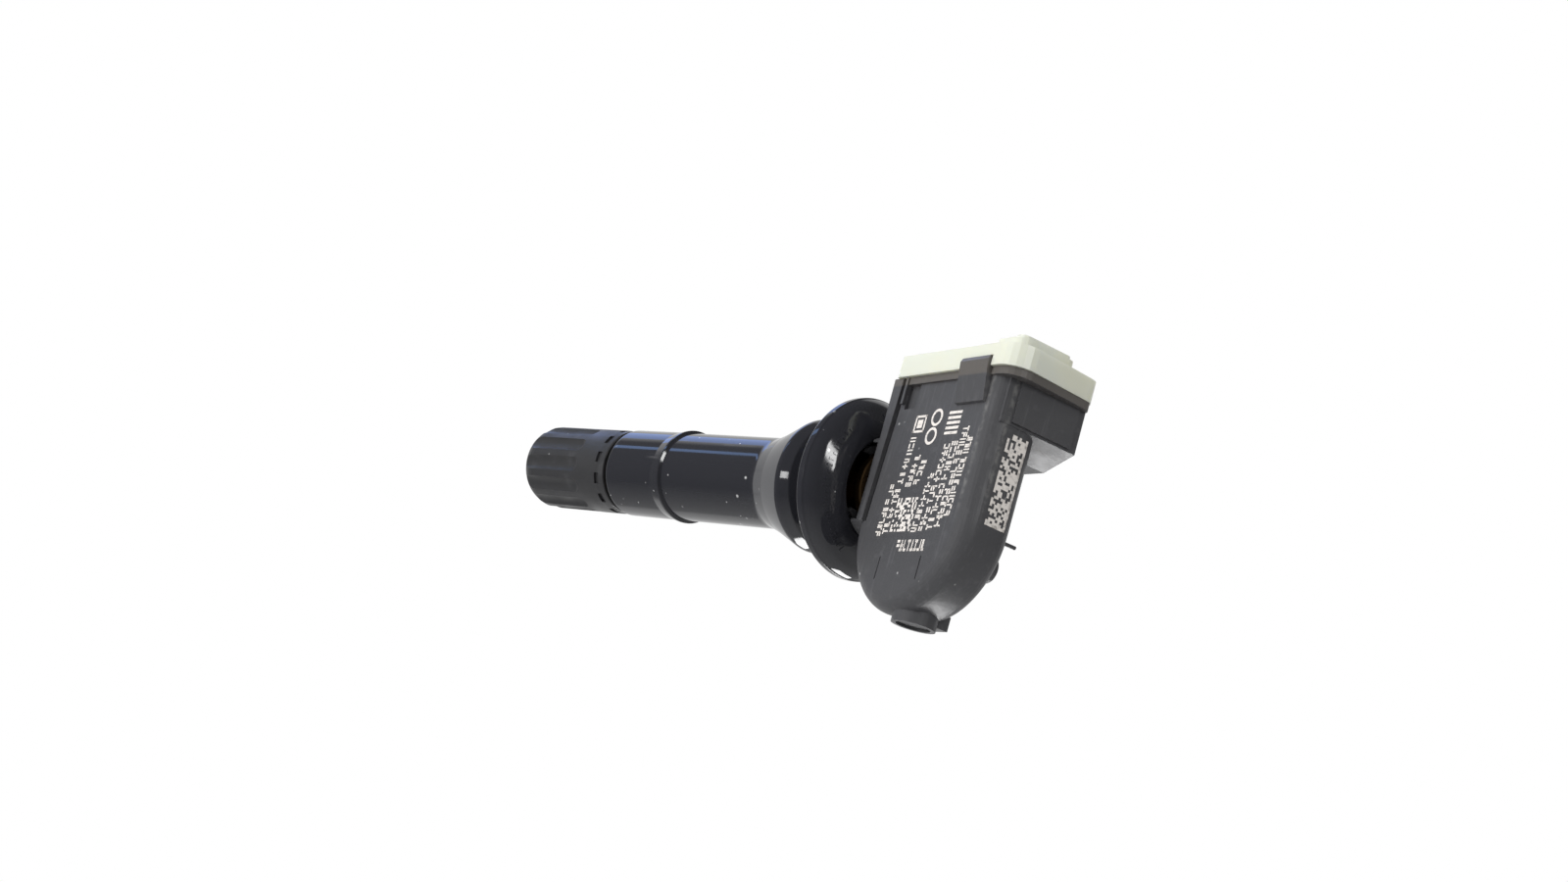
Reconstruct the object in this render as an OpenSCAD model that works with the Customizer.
// Snap-in tyre pressure sensor: a rubber tyre valve with a radio sensor case clipped to its foot.
// The origin is the centre of the valve flange's seating face, on the valve's axis.
// +Z runs along the valve towards its cap, and +Y points from the round end of the case to its lid.

/* [Valve rubber] */
// Radius of the base flange
flange_r = 9.8; // [9:0.1:10.5]
// Thickness of the flange's outer rim
flange_t = 1.0; // [0.8:0.1:1.4]
// Height of the domed foot below the seating face
foot_h = 3.14; // [2.8:0.02:3.6]
// Radius of the recess in the foot
recess_r = 5.24; // [5.1:0.02:5.5]
// Radius of the groove that sits in the wheel's hole
groove_r = 6.0; // [5.6:0.1:6.3]
// Width of the groove, which is the grip range on the rim
groove_w = 3.6; // [3:0.1:4.5]
// Radius of the retaining bulge
bulge_r = 7.33; // [7:0.01:7.8]
// Length of the taper from the bulge down to the barrel
taper_len = 6.0; // [4:0.1:8]
// Radius of the rubber barrel
barrel_r = 5.05; // [4.6:0.05:5.4]
// Length of the rubber above the seating face
barrel_len = 36.0; // [30:0.5:46]
// Height of the moulded lip's edge above the seating face
lip_z = 26.4; // [18:0.1:28]
// How far the lip stands out
lip_rise = 0.3; // [0.2:0.05:0.7]

/* [Brass stem] */
// Outer radius of the stem's thread
thread_r = 3.85; // [3.8:0.01:3.9]
// Length of thread that stands out of the rubber
thread_len = 13.0; // [11:0.5:16]
// Pitch of the stem's thread
thread_pitch = 0.794; // [0.7:0.001:1]
// Depth of the stem's thread, drawn as rings
thread_depth = 0.4; // [0.3:0.05:0.5]
// Radius of the button that the case clips on to
button_r = 4.2; // [4:0.05:4.2]
// Thickness of the button
button_t = 1.0; // [0.8:0.05:1.1]
// Height of the neck between the button and the stem's foot
neck_h = 1.8; // [1.6:0.1:2.2]
// Radius of the neck
neck_r = 2.6; // [2.4:0.05:2.8]
// Radius of the valve core's thread
core_r = 2.6; // [2.5:0.01:2.65]
// Radius of the chamber below the core's seat
chamber_r = 2.15; // [2.05:0.05:2.3]
// Radius of the air passage
air_r = 1.4; // [1.2:0.05:1.6]

/* [Valve core] */
// Length of the core's threaded plug
plug_len = 5.0; // [4:0.1:6]
// Depth of the plug's top below the stem's end
plug_drop = 0.6; // [0.4:0.1:1]
// Length of the core's barrel below the plug
core_len = 8.0; // [7:0.1:10]
// Radius of the core's barrel
core_barrel_r = 1.75; // [1.7:0.01:1.85]
// Radius of the valve pin
pin_r = 0.45; // [0.4:0.01:0.5]
// How far the pin can be pushed in
pin_travel = 1.2; // [0.8:0.1:1.5]
// Running clearance round the pin
pin_fit = 0.05; // [0.03:0.01:0.08]
// Clearance round the core's plug
core_fit = 0.05; // [0.03:0.01:0.08]
// Radius of the core spring's wire
spring_wire_r = 0.15; // [0.12:0.01:0.18]
// Number of turns of the core spring
spring_turns = 6; // [4:1:8]

/* [Valve cap] */
// Outer radius of the cap
cap_r = 4.95; // [4.8:0.05:5.2]
// Gap between the cap's skirt and the rubber barrel
cap_gap = 0.6; // [0.2:0.05:0.8]
// Radial clearance between the cap and the stem's thread
cap_fit = 0.05; // [0.03:0.01:0.09]
// Thickness of the cap's sealing washer
seal_t = 1.0; // [0.8:0.1:1.4]
// Thickness of the cap's closed end
cap_roof = 2.7; // [2:0.1:3.2]
// Rounding of the cap's closed end
cap_round = 2.8; // [1.8:0.1:3]
// Number of flutes round the cap
flutes = 12; // [8:1:14]
// Radius of each flute's hollow
flute_r = 1.25; // [1:0.05:1.4]
// Depth of each flute
flute_depth = 0.45; // [0.3:0.05:0.55]
// Height of the plain band below the flutes
cap_band = 4.4; // [3.5:0.1:6]

/* [Sensor case] */
// Angle between the valve's axis and the case's width
stem_tilt = 14.54; // [10:0.01:18]
// Depth of the valve's axis behind the case's front face
axis_depth = 3.35; // [3.2:0.01:3.8]
// Gap between the valve's foot and the side of the case
side_gap = 2.0; // [1.95:0.05:2.6]
// Width of the case
case_w = 19.3; // [19.2:0.1:22]
// Thickness of the case's battery pocket
case_t = 6.5; // [6.5:0.1:8]
// Distance from the valve's axis down to the round end of the case
case_low = 14.25; // [14:0.05:16]
// Height of the case above the circle of its round end
case_head = 6.05; // [5.5:0.05:8]
// Thickness of the case walls
wall = 0.9; // [0.8:0.05:0.9]
// Rounding of the case's front edge
edge_r = 1.8; // [1.2:0.1:1.8]
// Rounding of the case's back edge
back_edge_r = 2.2; // [1.8:0.1:2.4]
// How far each side of the case slopes in from its front to its back
side_draft = 0.25; // [0.1:0.05:0.4]
// Depth of the head that carries the lid
head_d = 10.6; // [10.4:0.1:12.5]
// Height of the head
head_h = 7.1; // [6.8:0.05:7.6]
// Thickness of the rim plate under the lid
rim_t = 0.85; // [0.7:0.05:1]
// How far the rim plate stands out from the case's right side
rim_out = 1.6; // [0.8:0.1:1.6]
// Gap between the two clip jaws, measured from the valve's axis
jaw_y = 4.25; // [4.25:0.05:4.4]
// Radius of the clip jaws
jaw_r = 5.7; // [5.5:0.05:6]
// Radius of the round boss at the bottom
boss_r = 2.3; // [2:0.1:2.6]
// Height of the round boss at the bottom
boss_h = 0.6; // [0.5:0.05:1.2]
// Radius of the locating peg on the back
peg_r = 1.4; // [1.2:0.05:1.8]
// Height of the locating peg on the back
peg_h = 1.9; // [1:0.1:2.2]
// Width of the snap tab that holds the lid
tab_w = 4.7; // [4:0.1:5.5]
// Length of the snap tab below the lid
tab_len = 3.7; // [3:0.1:4.5]

/* [Lid] */
// Height of the lid's side
lid_h = 2.35; // [2.2:0.05:3.2]
// Thickness of the lid's walls
lid_wall = 0.9; // [0.7:0.05:1]
// How far the lid overhangs the case's front face
lid_over = 0.65; // [0.5:0.05:0.8]
// Height of the raised pad on the lid
pad_h = 0.9; // [0.6:0.1:1.4]
// Radius of the air hole in the lid
port_r = 0.8; // [0.6:0.05:1]

/* [Electronics] */
// Clearance round the coin cell
battery_gap = 0.75; // [0.5:0.05:1]
// Thickness of the coin cell
battery_t = 3.2; // [2.5:0.1:3.2]
// Thickness of the circuit board
board_t = 0.8; // [0.6:0.1:0.8]
// Radius of the foam pad in front of the coin cell
foam_r = 5.5; // [4:0.1:6.5]
// Thickness of the foam pad in front of the coin cell
foam_t = 0.3; // [0.2:0.05:0.3]
// Thickness of the battery's contact strips
strip_t = 0.15; // [0.1:0.05:0.15]
// Length of the sensor chip
chip_l = 7.0; // [5:0.5:8]
// Width of the sensor chip
chip_w = 3.3; // [2.8:0.1:3.4]
// Length of the wake-up coil
coil_l = 8.0; // [6:0.5:9]
// Thickness of the wake-up coil
coil_t = 2.6; // [2:0.1:3]

/* [Hidden] */
$fn = 96;
eps = 0.01;

// Brass stem
stem_top = barrel_len + thread_len;
foot_low = -foot_h + 2.0;
neck_low = foot_low - neck_h;
button_low = neck_low - button_t;
brass_foot_r = recess_r - 0.6;
brass_foot_t = 1.0;
crest_w = 1.5;
shoulder_w = 0.6;
shoulder_h = 0.75;
lip_slope = 1.6;
stem_chamfer = 0.5;
thread_run = 0.5;
thread_n = floor((thread_len - thread_run - stem_chamfer) / thread_pitch);
vent_r = 0.6;
vent_z = neck_low + neck_h / 2;

// Valve core, from the top down
plug_top = stem_top - plug_drop;
plug_low = plug_top - plug_len;
plug_r = core_r - core_fit;
plug_slot_w = 1.9;
plug_slot_h = 2.2;
plug_bore_r = pin_r + 0.3;
core_bore_r = core_barrel_r - 0.45;
core_low = plug_low - core_len;
core_floor = 0.8;
gasket_top = plug_low - 0.6;
gasket_h = 2.4;
gasket_r = core_r - 0.1;
gasket_low_r = chamber_r + 0.02;
collar_r = core_bore_r - 0.1;
collar_t = 0.5;
collar_top = plug_low - 0.3;
pin_top = plug_top - 0.1;
washer_t = 0.6;
washer_r = core_barrel_r - 0.05;
cup_t = 1.0;
pin_low = core_low - washer_t - cup_t;
chamber_low = pin_low - pin_travel - 2;
spring_low = core_low + core_floor;
spring_top = collar_top - collar_t;
spring_r = (pin_r + core_bore_r) / 2;

// Valve cap
cap_low = barrel_len + cap_gap;
seal_low = stem_top;
cap_bore_top = seal_low + seal_t;
cap_top = cap_bore_top + cap_roof;
cap_bore_r = thread_r + cap_fit;
seal_r = thread_r - 0.2;
seal_hole_r = core_r - 0.2;
pin_room = 0.7;
notch_w = 1.3;
notch_h = 0.7;
notch_depth = 0.3;
notch_z = cap_low + 1.1;
flute_turn = 19;
notch_turn = 2;

// Sensor case: x along its width, y into its depth, z up towards the lid
x0 = side_gap;
x1 = x0 + case_w;
round_r = case_w / 2;
mid_x = x0 + round_r;
round_z = -case_low + round_r;
inner_r = round_r - wall;
back_inner_r = inner_r - 0.5;
back_y = case_t;
seat_z = -case_low + case_w + case_head;
rim_z = seat_z - rim_t;
rim_x1 = x1 + rim_out;
rim_round = 2.3;
rim_back_round = 1.1;
rim_slant = 0.8;
rim_lip = 0.25;
head_x0 = x0 + 1.2;
head_low = seat_z - head_h;
head_step = seat_z - 5.4;
head_slope_w = 4.2;
block_x = x1 + 0.25;
block_y = 2.2;
block_z = seat_z - 5.1;
boss_x = mid_x + 1.3;
boss_y = 3.1;
boss_rim_w = 0.5;
boss_dish = 0.3;
nub_x = mid_x - 0.15;
nub_z = -case_low + 0.05;
nub_w = 2.2;
nub_d = 1.4;
nub_h = 1.5;
nub_out = 0.2;
peg_x = mid_x + 3.9;
peg_z = round_z - 2.5;
pin_peg_r = 0.2;
pin_peg_h = peg_h + 0.2;
pin_peg_x = mid_x + 6.8;
pin_peg_z = round_z - 0.15;
tab_x = x1 - tab_w - 2.0;
tab_out = 0.9;
tab_rise = 1.0;
rib_out = 0.35;
rib_low = -4.6;
rib_low_x = x0 + 1.0;
rib_low_w = 0.7;
rib_top_x = x0 + 0.5;
rib_top_w = 1.6;
rib_slot_low_w = 0.25;
rib_slot_top_w = 0.35;
rib_slot_depth = 0.3;
upright_x = x0 + 2.75;
upright_w = 0.4;
upright_out = 0.4;
upright_len = 3.0;
shallow_x = x0 + 3.2;
shallow_w = 2.0;
shallow_len = 3.5;
shallow_depth = 0.4;
line_places = [mid_x - 3.2, mid_x + 3.9];
line_w = 0.15;
line_depth = 0.12;
line_low = round_z - 6.3;
line_len = 2.4;
jaw_top = neck_low + 0.6;
jaw_side = axis_depth / cos(stem_tilt);
jaw_pad_z = button_low - 0.05;
jaw_root_z = -foot_h - (side_gap + 2.4) / cos(stem_tilt);
jaw_recess_r = recess_r - 0.3;
hook_y = neck_r + 0.5;

// Lid
lid_x0 = x0 + 1.1;
lid_x1 = rim_x1 + 0.4;
lid_y0 = -lid_over;
lid_y1 = head_d + 0.3;
lid_top = seat_z + lid_h;
lid_slant = 1.2;
lid_corner = 2.6;
lid_back_corner = 1.4;
lid_left_corner = 0.4;
pad_x0 = x1 - 3.8;
pad_x1 = x1 + 0.7;
pad_y1 = 7.6;
pad_step = 0.35;
lip_h = 1.0;
lip_t = 0.7;
lip_gap = 0.05;
lip_x0 = head_x0 + wall + lip_gap;
lip_x1 = x1 - wall - lip_gap;
lip_y0 = wall + lip_gap;
lip_y1 = head_d - wall - lip_gap;
port_x = mid_x - 3.0;
port_y = head_d / 2;
filter_t = 0.25;

// Electronics, stacked from the case's front wall to its back wall
foam_y = wall;
strip_y = foam_y + foam_t;
battery_y = strip_y + strip_t;
back_strip_y = battery_y + battery_t;
board_y = case_t - wall - board_t - 0.05;
board_back = board_y + board_t;
board_r = back_inner_r - 0.1;
battery_r = inner_r - battery_gap;
battery_can_h = battery_t - 0.4;
battery_cover_r = battery_r - 0.9;
board_top = seat_z - lip_h - 0.2;
strip_w = 2.4;
strip_len = 8.0;
strip_z = round_z + battery_r + 0.35;
parts_z = strip_z + 1.0;
chip_x = mid_x - board_r + 1.2 + chip_l / 2;
chip_z = (parts_z + board_top) / 2;
chip_t = 1.7;
lead_n = 7;
lead_w = 0.35;
lead_l = 0.5;
coil_x = mid_x - board_r + 1.7 + coil_l / 2;
coil_z = board_top - coil_t / 2 - 0.1;
coil_flange = 0.9;
coil_neck = coil_t - 1.0;
antenna_x = coil_x + coil_l / 2 + 0.8;
antenna_w = mid_x + board_r - 0.4 - antenna_x;
antenna_d = 3.2;
antenna_t = 0.4;
antenna_h = 1.3;
chip_part_w = 1.0;
chip_part_h = 0.5;
chip_part_n = 5;
capacitor_x = mid_x + 1.3;
capacitor_step = (mid_x + board_r - 0.5 - capacitor_x) / chip_part_n;
resistor_x = mid_x - board_r / 2;
resistor_step = board_r / (chip_part_n + 1);
crystal_w = 3.2;
crystal_h = 2.5;
crystal_t = 0.8;

// Puts a child drawn in the case's own axes where the valve carries the case
module at_case() {
    translate([axis_depth * cos(stem_tilt), 0, -foot_h + axis_depth * sin(stem_tilt)])
        rotate([-90, 90 - stem_tilt, 0])
            children();
}

function unit(v) = v / norm(v);
function turn_angle(a) = a > 180 ? a - 360 : (a < -180 ? a + 360 : a);

// Points of the arc that rounds the corner p between its neighbours a and b
function corner_arc(a, p, b, r, n) =
    let (
        u = unit(a - p),
        v = unit(b - p),
        half = acos(u * v) / 2,
        c = p + unit(u + v) * r / sin(half),
        s = p + u * r / tan(half) - c,
        e = p + v * r / tan(half) - c,
        a0 = atan2(s[1], s[0]),
        turn = turn_angle(atan2(e[1], e[0]) - a0)
    )
    [for (i = [0:n]) c + r * [cos(a0 + turn * i / n), sin(a0 + turn * i / n)]];

// A corner is [x, y] when it is sharp, and [x, y, radius] when it is round
function rounded(pts, n = 6) = [
    for (i = [0:len(pts) - 1])
        let (
            p = [pts[i][0], pts[i][1]],
            a = pts[(i + len(pts) - 1) % len(pts)],
            b = pts[(i + 1) % len(pts)]
        )
        each (len(pts[i]) < 3 ? [p] : corner_arc([a[0], a[1]], p, [b[0], b[1]], pts[i][2], n))
];

// Box with round corners in the x-y plane, standing on z = 0
module round_plate(x_a, y_a, x_b, y_b, h, r) {
    linear_extrude(h)
        polygon(rounded([[x_a, y_a, r], [x_b, y_a, r], [x_b, y_b, r], [x_a, y_b, r]]));
}

module block(x_a, y_a, z_a, x_b, y_b, z_b) {
    translate([x_a, y_a, z_a])
        cube([x_b - x_a, y_b - y_a, z_b - z_a]);
}

// Cylinder along the case's depth
module depth_rod(x, z, r, y_a, y_b) {
    translate([x, y_b, z])
        rotate([90, 0, 0])
            cylinder(r = r, h = y_b - y_a);
}

// Prism across the case's width, from a profile given as [y, z] points
module width_prism(x_a, x_b, pts) {
    translate([x_a, 0, 0])
        rotate([90, 0, 90])
            linear_extrude(x_b - x_a)
                polygon(pts);
}

// Prism through the case's depth, from a profile given as [x, z] points
module depth_prism(y_a, y_b, pts) {
    translate([0, y_b, 0])
        rotate([90, 0, 0])
            linear_extrude(y_b - y_a)
                polygon(pts);
}

module valve_rubber() {
    shoulder = groove_w + 0.5;
    bulge_z = shoulder + 1.3;
    taper_end = bulge_z + taper_len;
    outline = [
        [thread_r, foot_low + brass_foot_t],
        [brass_foot_r, foot_low + brass_foot_t],
        [brass_foot_r, foot_low + 0.3],
        [recess_r, foot_low + 0.3],
        [recess_r, -foot_h, 0.35],
        [recess_r + crest_w, -foot_h, 3.8],
        [flange_r - shoulder_w, -flange_t - shoulder_h, 2.8],
        [flange_r - 0.15, -flange_t],
        [flange_r, -flange_t + 0.15, 0.12],
        [flange_r, 0, 0.3],
        [flange_r - 1.4, 0],
        [groove_r + 0.4, 0.25],
        [groove_r, 0.7],
        [groove_r, groove_w - 0.2, 0.3],
        [bulge_r - 0.5, shoulder - 0.1, 0.35],
        [bulge_r + 0.05, bulge_z, 1.1],
        [barrel_r + 0.75, taper_end - 2.2, 3.0],
        [barrel_r, taper_end, 3.0],
        [barrel_r, lip_z - 0.15],
        [barrel_r + lip_rise, lip_z],
        [barrel_r + lip_rise, lip_z + 0.25, 0.15],
        [barrel_r + 0.03, lip_z + lip_slope],
        [barrel_r, barrel_len, 0.4],
        [thread_r, barrel_len]
    ];
    color([0.03, 0.035, 0.045])
        rotate_extrude()
            polygon(rounded(outline, 5));
}

module valve_stem() {
    thread_low = barrel_len + thread_run;
    color([0.72, 0.53, 0.28])
        difference() {
            rotate_extrude()
                polygon([
                    [0, button_low],
                    [button_r - 0.15, button_low],
                    [button_r, button_low + 0.15],
                    [button_r, neck_low - 0.15],
                    [button_r - 0.15, neck_low],
                    [neck_r, neck_low],
                    [neck_r, foot_low],
                    [brass_foot_r, foot_low],
                    [brass_foot_r, foot_low + brass_foot_t],
                    [thread_r, foot_low + brass_foot_t],
                    [thread_r, thread_low],
                    for (i = [0:thread_n - 1])
                        each [
                            [thread_r - thread_depth, thread_low + (i + 0.5) * thread_pitch],
                            [thread_r, thread_low + (i + 1) * thread_pitch]
                        ],
                    [thread_r, stem_top - stem_chamfer],
                    [thread_r - stem_chamfer, stem_top],
                    [0, stem_top]
                ]);
            // Thread bore, tapered seat, core chamber and air passage
            translate([0, 0, gasket_top])
                cylinder(r = core_r, h = stem_top - gasket_top + eps);
            translate([0, 0, gasket_top - gasket_h])
                rotate_extrude()
                    polygon([[0, 0], [chamber_r + 0.03, 0], [core_r, gasket_h], [core_r, gasket_h + eps],
                        [0, gasket_h + eps]]);
            translate([0, 0, chamber_low])
                cylinder(r = chamber_r + 0.03, h = gasket_top - gasket_h - chamber_low + eps);
            translate([0, 0, vent_z])
                cylinder(r = air_r, h = chamber_low - vent_z + eps);
            // Cross hole that lets the air out into the recess
            translate([0, 0, vent_z])
                rotate([0, 90, 0])
                    cylinder(r = vent_r, h = 2 * neck_r + 2, center = true);
        }
}

module core_plug() {
    color([0.78, 0.6, 0.3])
        difference() {
            translate([0, 0, plug_low])
                cylinder(r = plug_r, h = plug_len);
            translate([0, 0, plug_low - eps])
                cylinder(r = plug_bore_r, h = plug_len + 2 * eps);
            // Flats that take the core key and let air past
            for (side = [-1, 1])
                translate([side * (plug_slot_w / 2 + plug_r), 0, plug_top - plug_slot_h / 2])
                    cube([2 * plug_r, 2 * plug_r, plug_slot_h + eps], center = true);
            for (side = [-1, 1])
                translate([side * (plug_r - 0.4), 0, plug_low - eps])
                    cylinder(r = 0.55, h = plug_len);
        }
}

module core_barrel() {
    color([0.75, 0.57, 0.3])
        difference() {
            translate([0, 0, core_low])
                cylinder(r = core_barrel_r, h = core_len);
            translate([0, 0, core_low + core_floor])
                cylinder(r = core_bore_r, h = core_len);
            translate([0, 0, core_low - eps])
                cylinder(r = pin_r + pin_fit, h = core_floor + 2 * eps);
        }
}

module core_gasket() {
    color([0.75, 0.2, 0.12])
        rotate_extrude()
            polygon([
                [core_barrel_r, gasket_top - gasket_h],
                [gasket_low_r, gasket_top - gasket_h],
                [gasket_r, gasket_top],
                [core_barrel_r, gasket_top]
            ]);
}

// Ring of points round the spring's wire at one place along its helix
function wire_ring(a, sides) =
    let (
        rise = (spring_top - spring_low - 2 * spring_wire_r) / (360 * spring_turns),
        c = [spring_r * cos(a), spring_r * sin(a), spring_low + spring_wire_r + a * rise]
    )
    [for (k = [0:sides - 1])
        let (b = 360 * k / sides)
        c + spring_wire_r * (cos(b) * [cos(a), sin(a), 0] + sin(b) * [0, 0, 1])];

module core_spring() {
    sides = 8;
    steps = spring_turns * 14;
    rings = [for (i = [0:steps]) wire_ring(360 * spring_turns * i / steps, sides)];
    points = [for (ring = rings) each ring];
    skin = [for (i = [0:steps - 1]) for (k = [0:sides - 1])
        [i * sides + k, (i + 1) * sides + k, (i + 1) * sides + (k + 1) % sides, i * sides + (k + 1) % sides]];
    start_cap = [[for (k = [0:sides - 1]) k]];
    end_cap = [[for (k = [0:sides - 1]) steps * sides + sides - 1 - k]];
    color([0.7, 0.7, 0.72])
        polyhedron(points, concat(skin, start_cap, end_cap));
}

module core_pin() {
    color([0.82, 0.7, 0.42])
        union() {
            translate([0, 0, pin_low + cup_t / 2])
                cylinder(r = pin_r, h = pin_top - pin_low - cup_t / 2);
            translate([0, 0, collar_top - collar_t])
                cylinder(r = collar_r, h = collar_t);
        }
}

module core_cup() {
    color([0.75, 0.57, 0.3])
        difference() {
            translate([0, 0, pin_low])
                cylinder(r = washer_r, h = cup_t);
            translate([0, 0, pin_low + cup_t / 2])
                cylinder(r = pin_r, h = cup_t);
        }
}

module core_washer() {
    color([0.1, 0.1, 0.1])
        difference() {
            translate([0, 0, core_low - washer_t])
                cylinder(r = washer_r, h = washer_t);
            translate([0, 0, core_low - washer_t - eps])
                cylinder(r = pin_r, h = washer_t + 2 * eps);
        }
}

module valve_cap() {
    flute_c = cap_r + flute_r - flute_depth;
    flute_low = cap_low + cap_band;
    flute_step = 360 / flutes;
    color([0.05, 0.05, 0.055])
        difference() {
            rotate_extrude()
                polygon(rounded([
                    [0, cap_low],
                    [cap_r - 0.1, cap_low, 0.2],
                    [cap_r, cap_low + 1.2],
                    [cap_r, cap_top - 0.2, cap_round],
                    [0, cap_top]
                ], 8));
            translate([0, 0, cap_low - eps])
                cylinder(r = cap_bore_r, h = cap_bore_top - cap_low + eps);
            translate([0, 0, cap_bore_top - 2 * eps])
                cylinder(r = seal_hole_r, h = pin_room);
            for (i = [0:flutes - 1])
                rotate([0, 0, flute_step * i + flute_turn])
                    translate([flute_c, 0, flute_low + flute_r])
                        union() {
                            cylinder(r = flute_r, h = cap_top, $fn = 32);
                            sphere(r = flute_r, $fn = 32);
                        }
            // Short moulded dents just above the skirt
            for (i = [0:flutes - 1])
                rotate([0, 0, flute_step * i + notch_turn])
                    translate([cap_r, 0, notch_z])
                        cube([2 * notch_depth, notch_w, notch_h], center = true);
        }
}

module cap_seal() {
    color([0.12, 0.12, 0.12])
        difference() {
            translate([0, 0, seal_low])
                cylinder(r = seal_r, h = seal_t);
            translate([0, 0, seal_low - eps])
                cylinder(r = seal_hole_r, h = seal_t + 2 * eps);
        }
}

// Half circle below a straight-sided top, as [x, z] points
function tombstone(r, top) = concat(
    [for (i = [0:36]) [mid_x + r * cos(180 + 5 * i), round_z + r * sin(180 + 5 * i)]],
    [[mid_x + r, top], [mid_x - r, top]]
);

// Battery pocket: a flat box with a round lower end, and round front and back edges
module pocket_outer() {
    half = rounded([
        [0, 0],
        [round_r, 0, edge_r],
        [round_r - side_draft, back_y, back_edge_r],
        [0, back_y]
    ], 8);
    translate([mid_x, 0, round_z])
        rotate([-90, 0, 0])
            rotate_extrude()
                polygon(half);
    translate([0, 0, round_z])
        linear_extrude(seat_z - round_z)
            polygon(rounded([
                [x0, 0, edge_r],
                [x1, 0, edge_r],
                [x1 - side_draft, back_y, back_edge_r],
                [x0 + side_draft, back_y, back_edge_r]
            ], 8));
}

// The head behind the pocket, with its sloping underside
module head_shape(y_a, y_b, inset, top) {
    depth_prism(y_a, y_b, [
        [head_x0 + inset, head_low + inset],
        [x1 - head_slope_w, head_low + inset],
        [x1 - inset, head_step + inset],
        [x1 - inset, top],
        [head_x0 + inset, top]
    ]);
}

module rim_plate() {
    translate([0, 0, rim_z])
        linear_extrude(rim_t)
            polygon(rounded([
                [x0 + 0.4, -rim_lip],
                [rim_x1, -rim_lip, rim_round],
                [rim_x1 - rim_slant, head_d + 0.1, rim_back_round],
                [x0 + 0.4, head_d + 0.1, rim_back_round]
            ]));
}

// Two jaws that snap over the stem's button, drawn in the valve's own axes
module jaws() {
    jaw_h = jaw_top - jaw_root_z;
    intersection() {
        union() {
            translate([0, 0, jaw_root_z])
                cylinder(r = jaw_r, h = -foot_h - 0.15 - jaw_root_z);
            translate([0, 0, jaw_root_z])
                cylinder(r = jaw_recess_r, h = jaw_h);
        }
        union() {
            for (side = [-1, 1])
                translate([0, side * (jaw_y + 1), jaw_root_z + jaw_h / 2])
                    cube([2 * jaw_side, 2, jaw_h], center = true);
            // Hooks behind the button's shoulder
            for (side = [-1, 1])
                translate([0, side * (hook_y + jaw_y + 0.1) / 2, (neck_low + jaw_top) / 2 + 0.03])
                    cube([2 * jaw_side, jaw_y + 0.1 - hook_y, jaw_top - neck_low - 0.06], center = true);
            // Pad that the button rests on
            translate([0, 0, (jaw_root_z + jaw_pad_z) / 2])
                cube([2 * jaw_side, 2 * jaw_y + 0.2, jaw_pad_z - jaw_root_z], center = true);
        }
    }
}

module snap_tab() {
    root_z = seat_z - tab_len;
    width_prism(tab_x, tab_x + tab_w, [
        [0.5, root_z - 0.3],
        [0, root_z],
        [-0.35, root_z + 0.1],
        [-tab_out, seat_z - 0.2],
        [-tab_out - 0.1, seat_z + tab_rise - 0.4],
        [-tab_out + 0.1, seat_z + tab_rise],
        [-0.4, seat_z + tab_rise],
        [-0.4, seat_z - 0.1],
        [0.5, seat_z - 0.1]
    ]);
}

// Ridge down the front left edge, which narrows towards the valve's foot
module edge_rib() {
    depth_prism(-rib_out, 1.2, [
        [rib_low_x, rib_low],
        [rib_low_x + rib_low_w, rib_low],
        [rib_top_x + rib_top_w, seat_z - 0.1],
        [rib_top_x, seat_z - 0.1]
    ]);
}

module case_outer() {
    pocket_outer();
    head_shape(wall, head_d, 0, seat_z);
    rim_plate();
    snap_tab();
    edge_rib();
    // Raised face on the right side of the head
    block(x1 - wall, block_y, block_z, block_x, head_d - wall, rim_z + 0.1);
    // Thin upright beside the ridge
    block(upright_x, -upright_out, seat_z - upright_len, upright_x + upright_w, wall, seat_z - 0.1);
    // Round boss and nub at the bottom, and peg and pin on the back
    translate([boss_x, boss_y, -case_low - boss_h])
        cylinder(r = boss_r, h = boss_h + 1);
    block(nub_x, back_y - nub_d, nub_z, nub_x + nub_w, back_y + nub_out, nub_z + nub_h);
    depth_rod(peg_x, peg_z, peg_r, back_y - wall, back_y + peg_h);
    depth_rod(pin_peg_x, pin_peg_z, pin_peg_r, back_y - wall, back_y + pin_peg_h);
}

module case_voids() {
    depth_prism(wall, board_y - 0.05, tombstone(inner_r, seat_z + eps));
    depth_prism(wall, case_t - wall, tombstone(back_inner_r, seat_z + eps));
    head_shape(case_t - wall - 0.5, head_d - wall, wall, seat_z + eps);
    // Slot behind the ridge, and the shallow pocket beside it
    slot_low_x = rib_low_x + rib_low_w + 0.05;
    slot_top_x = rib_top_x + rib_top_w + 0.05;
    depth_prism(-1, rib_slot_depth, [
        [slot_low_x, rib_low],
        [slot_low_x + rib_slot_low_w, rib_low],
        [slot_top_x + rib_slot_top_w, seat_z + eps],
        [slot_top_x, seat_z + eps]
    ]);
    block(shallow_x, -1, seat_z - shallow_len, shallow_x + shallow_w, shallow_depth, rim_z);
    // Fine moulded lines low on the front face
    for (x = line_places)
        block(x, -eps, line_low, x + line_w, line_depth, line_low + line_len);
    translate([boss_x, boss_y, -case_low - boss_h - eps])
        cylinder(r = boss_r - boss_rim_w, h = boss_dish);
}

module case() {
    color([0.085, 0.085, 0.095])
        difference() {
            union() {
                at_case()
                    case_outer();
                jaws();
            }
            at_case()
                case_voids();
        }
}

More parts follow.
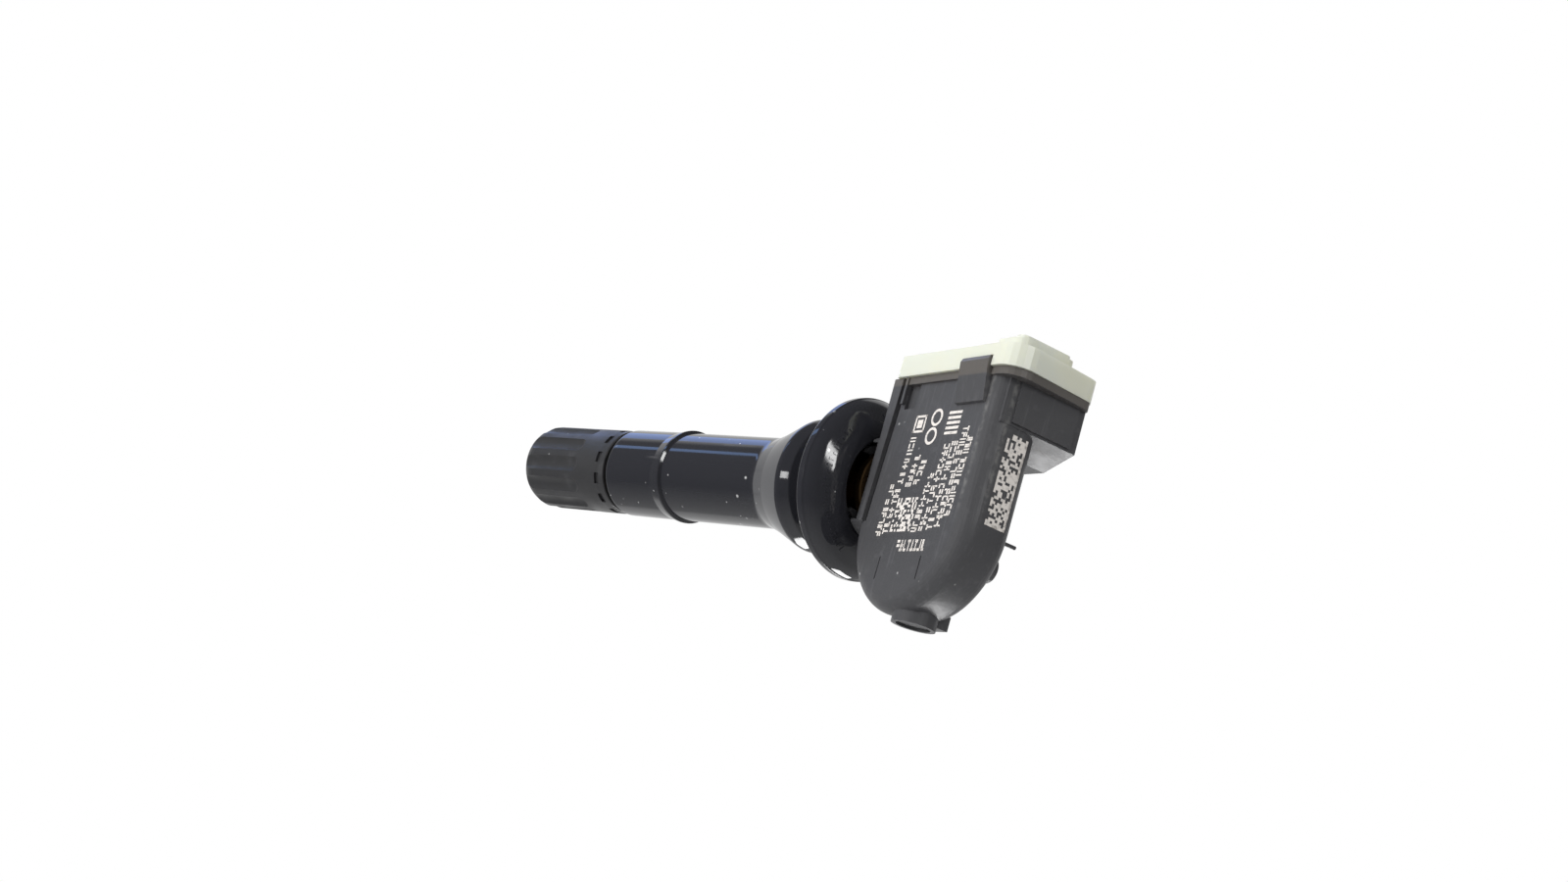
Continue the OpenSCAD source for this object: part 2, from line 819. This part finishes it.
module lid() {
    color([0.87, 0.88, 0.8])
        at_case()
            difference() {
                union() {
                    translate([0, 0, seat_z])
                        linear_extrude(lid_h)
                            polygon(rounded([
                                [lid_x0, lid_y0, lid_left_corner],
                                [lid_x1, lid_y0, lid_corner],
                                [lid_x1 - lid_slant, lid_y1, lid_back_corner],
                                [lid_x0, lid_y1, lid_left_corner]
                            ]));
                    // Lip that locates the lid in the case's mouth
                    translate([0, 0, seat_z - lip_h])
                        round_plate(lip_x0, lip_y0, lip_x1, lip_y1, lip_h + 0.5, 0.4);
                    // Two-step raised pad
                    translate([0, 0, lid_top - 0.2])
                        round_plate(pad_x0, 0.3, pad_x1, pad_y1, pad_h + 0.2, 1.2);
                    translate([0, 0, lid_top - 0.2])
                        round_plate(pad_x0 + 2.6, 0.7, pad_x1 - 0.2, pad_y1 - 0.6, pad_h + 0.2 + pad_step, 0.7);
                    // Ring round the air hole
                    translate([port_x, port_y, lid_top - 0.2])
                        cylinder(r = port_r + 0.9, h = 0.5);
                }
                translate([0, 0, seat_z - lip_h - eps])
                    round_plate(lip_x0 + lip_t, lip_y0 + lip_t, lip_x1 - lip_t, lip_y1 - lip_t,
                        lip_h + lid_h - lid_wall + eps, 0.3);
                // Notch for the case's snap tab
                block(tab_x - 0.1, lid_y0 - 1, seat_z - eps, tab_x + tab_w + 0.1, -0.3, seat_z + tab_rise + 0.1);
                translate([port_x, port_y, seat_z])
                    cylinder(r = port_r, h = lid_h + 1);
            }
}

module port_filter() {
    color([0.93, 0.93, 0.9])
        at_case()
            translate([port_x, port_y, lid_top - lid_wall - filter_t])
                cylinder(r = port_r + 0.9, h = filter_t);
}

module circuit_board() {
    color([0.05, 0.3, 0.15])
        at_case()
            depth_prism(board_y, board_back, tombstone(board_r, board_top));
}

module battery() {
    color([0.75, 0.75, 0.74])
        at_case()
            union() {
                depth_rod(mid_x, round_z, battery_r, battery_y, battery_y + battery_can_h);
                depth_rod(mid_x, round_z, battery_cover_r, battery_y, battery_y + battery_t);
            }
}

module battery_foam() {
    color([0.15, 0.15, 0.16])
        at_case()
            depth_rod(mid_x, round_z, foam_r, foam_y, foam_y + foam_t);
}

module battery_tab_positive() {
    x_a = mid_x + 2.2;
    x_b = x_a + strip_w;
    color([0.7, 0.68, 0.6])
        at_case()
            union() {
                block(x_a, strip_y, strip_z - strip_len, x_b, strip_y + strip_t, strip_z + strip_t);
                block(x_a, strip_y, strip_z, x_b, board_y, strip_z + strip_t);
                block(x_a, board_y - strip_t, strip_z, x_b, board_y, strip_z + 0.8);
            }
}

module battery_tab_negative() {
    x_a = mid_x - 4.0;
    x_b = x_a + strip_w;
    color([0.7, 0.68, 0.6])
        at_case()
            union() {
                block(x_a, back_strip_y, strip_z - strip_len, x_b, back_strip_y + strip_t, strip_z + 0.5);
                block(x_a, back_strip_y, strip_z, x_b, board_y, strip_z + 0.5);
            }
}

module sensor_chip() {
    chip_y = board_y - 0.1;
    color([0.06, 0.06, 0.065])
        at_case()
            difference() {
                union() {
                    block(chip_x - chip_l / 2, chip_y - chip_t, chip_z - chip_w / 2,
                        chip_x + chip_l / 2, chip_y, chip_z + chip_w / 2);
                    depth_rod(chip_x, chip_z, 1.1, chip_y - chip_t - 0.3, chip_y - chip_t + 0.1);
                }
                depth_rod(chip_x, chip_z, 0.5, chip_y - chip_t - 0.4, chip_y - 0.6);
            }
}

module chip_leads() {
    pitch = (chip_l - 1) / (lead_n - 1);
    color([0.8, 0.8, 0.78])
        at_case()
            for (side = [-1, 1])
                for (i = [0:lead_n - 1])
                    translate([chip_x + (i - (lead_n - 1) / 2) * pitch - lead_w / 2, 0, chip_z])
                        width_prism(0, lead_w, [
                            [board_y - 0.9, side * chip_w / 2],
                            [board_y - 0.9, side * (chip_w / 2 + lead_l / 2)],
                            [board_y - 0.15, side * (chip_w / 2 + lead_l / 2)],
                            [board_y - 0.15, side * (chip_w / 2 + lead_l)],
                            [board_y, side * (chip_w / 2 + lead_l)],
                            [board_y, side * (chip_w / 2 + lead_l / 2 - 0.12)],
                            [board_y - 0.75, side * (chip_w / 2 + lead_l / 2 - 0.12)],
                            [board_y - 0.75, side * chip_w / 2]
                        ]);
}

module coil_core() {
    neck_in = (coil_t - coil_neck) / 2;
    color([0.22, 0.22, 0.24])
        at_case()
            union() {
                for (x_a = [coil_x - coil_l / 2, coil_x + coil_l / 2 - coil_flange])
                    block(x_a, board_back, coil_z - coil_t / 2, x_a + coil_flange, board_back + coil_t,
                        coil_z + coil_t / 2);
                block(coil_x - coil_l / 2, board_back + neck_in, coil_z - coil_neck / 2,
                    coil_x + coil_l / 2, board_back + coil_t - neck_in, coil_z + coil_neck / 2);
            }
}

module coil_winding() {
    neck_in = (coil_t - coil_neck) / 2;
    color([0.7, 0.36, 0.18])
        at_case()
            difference() {
                block(coil_x - coil_l / 2 + coil_flange, board_back + 0.15, coil_z - coil_t / 2 + 0.15,
                    coil_x + coil_l / 2 - coil_flange, board_back + coil_t - 0.15, coil_z + coil_t / 2 - 0.15);
                block(coil_x - coil_l, board_back + neck_in, coil_z - coil_neck / 2,
                    coil_x + coil_l, board_back + coil_t - neck_in, coil_z + coil_neck / 2);
            }
}

module crystal() {
    color([0.8, 0.8, 0.8])
        at_case()
            translate([mid_x + 2.0, board_y, parts_z + 1.6])
                rotate([90, 0, 0])
                    round_plate(0, 0, crystal_w, crystal_h, crystal_t, 0.3);
}

module capacitors() {
    color([0.6, 0.5, 0.38])
        at_case()
            for (i = [0:chip_part_n - 1])
                translate([capacitor_x + capacitor_step * i, board_y - chip_part_h, parts_z + 0.2])
                    cube([chip_part_w, chip_part_h, chip_part_h]);
}

module resistors() {
    color([0.08, 0.08, 0.08])
        at_case()
            for (i = [0:chip_part_n - 1])
                translate([resistor_x + resistor_step * i, board_back, head_low + wall + 0.3])
                    cube([chip_part_w, 0.7 * chip_part_h, chip_part_h]);
}

module rf_antenna() {
    z_a = board_top - antenna_h - 0.3;
    color([0.78, 0.6, 0.3])
        at_case()
            union() {
                for (x_a = [antenna_x, antenna_x + antenna_w - antenna_t])
                    block(x_a, board_back, z_a, x_a + antenna_t, board_back + antenna_d, z_a + antenna_h);
                block(antenna_x, board_back + antenna_d - antenna_t, z_a, antenna_x + antenna_w,
                    board_back + antenna_d, z_a + antenna_h);
            }
}

valve_rubber();
valve_stem();
core_plug();
core_barrel();
core_gasket();
core_spring();
core_pin();
core_cup();
core_washer();
valve_cap();
cap_seal();
case();
lid();
port_filter();
circuit_board();
battery();
battery_foam();
battery_tab_positive();
battery_tab_negative();
sensor_chip();
chip_leads();
coil_core();
coil_winding();
crystal();
capacitors();
resistors();
rf_antenna();
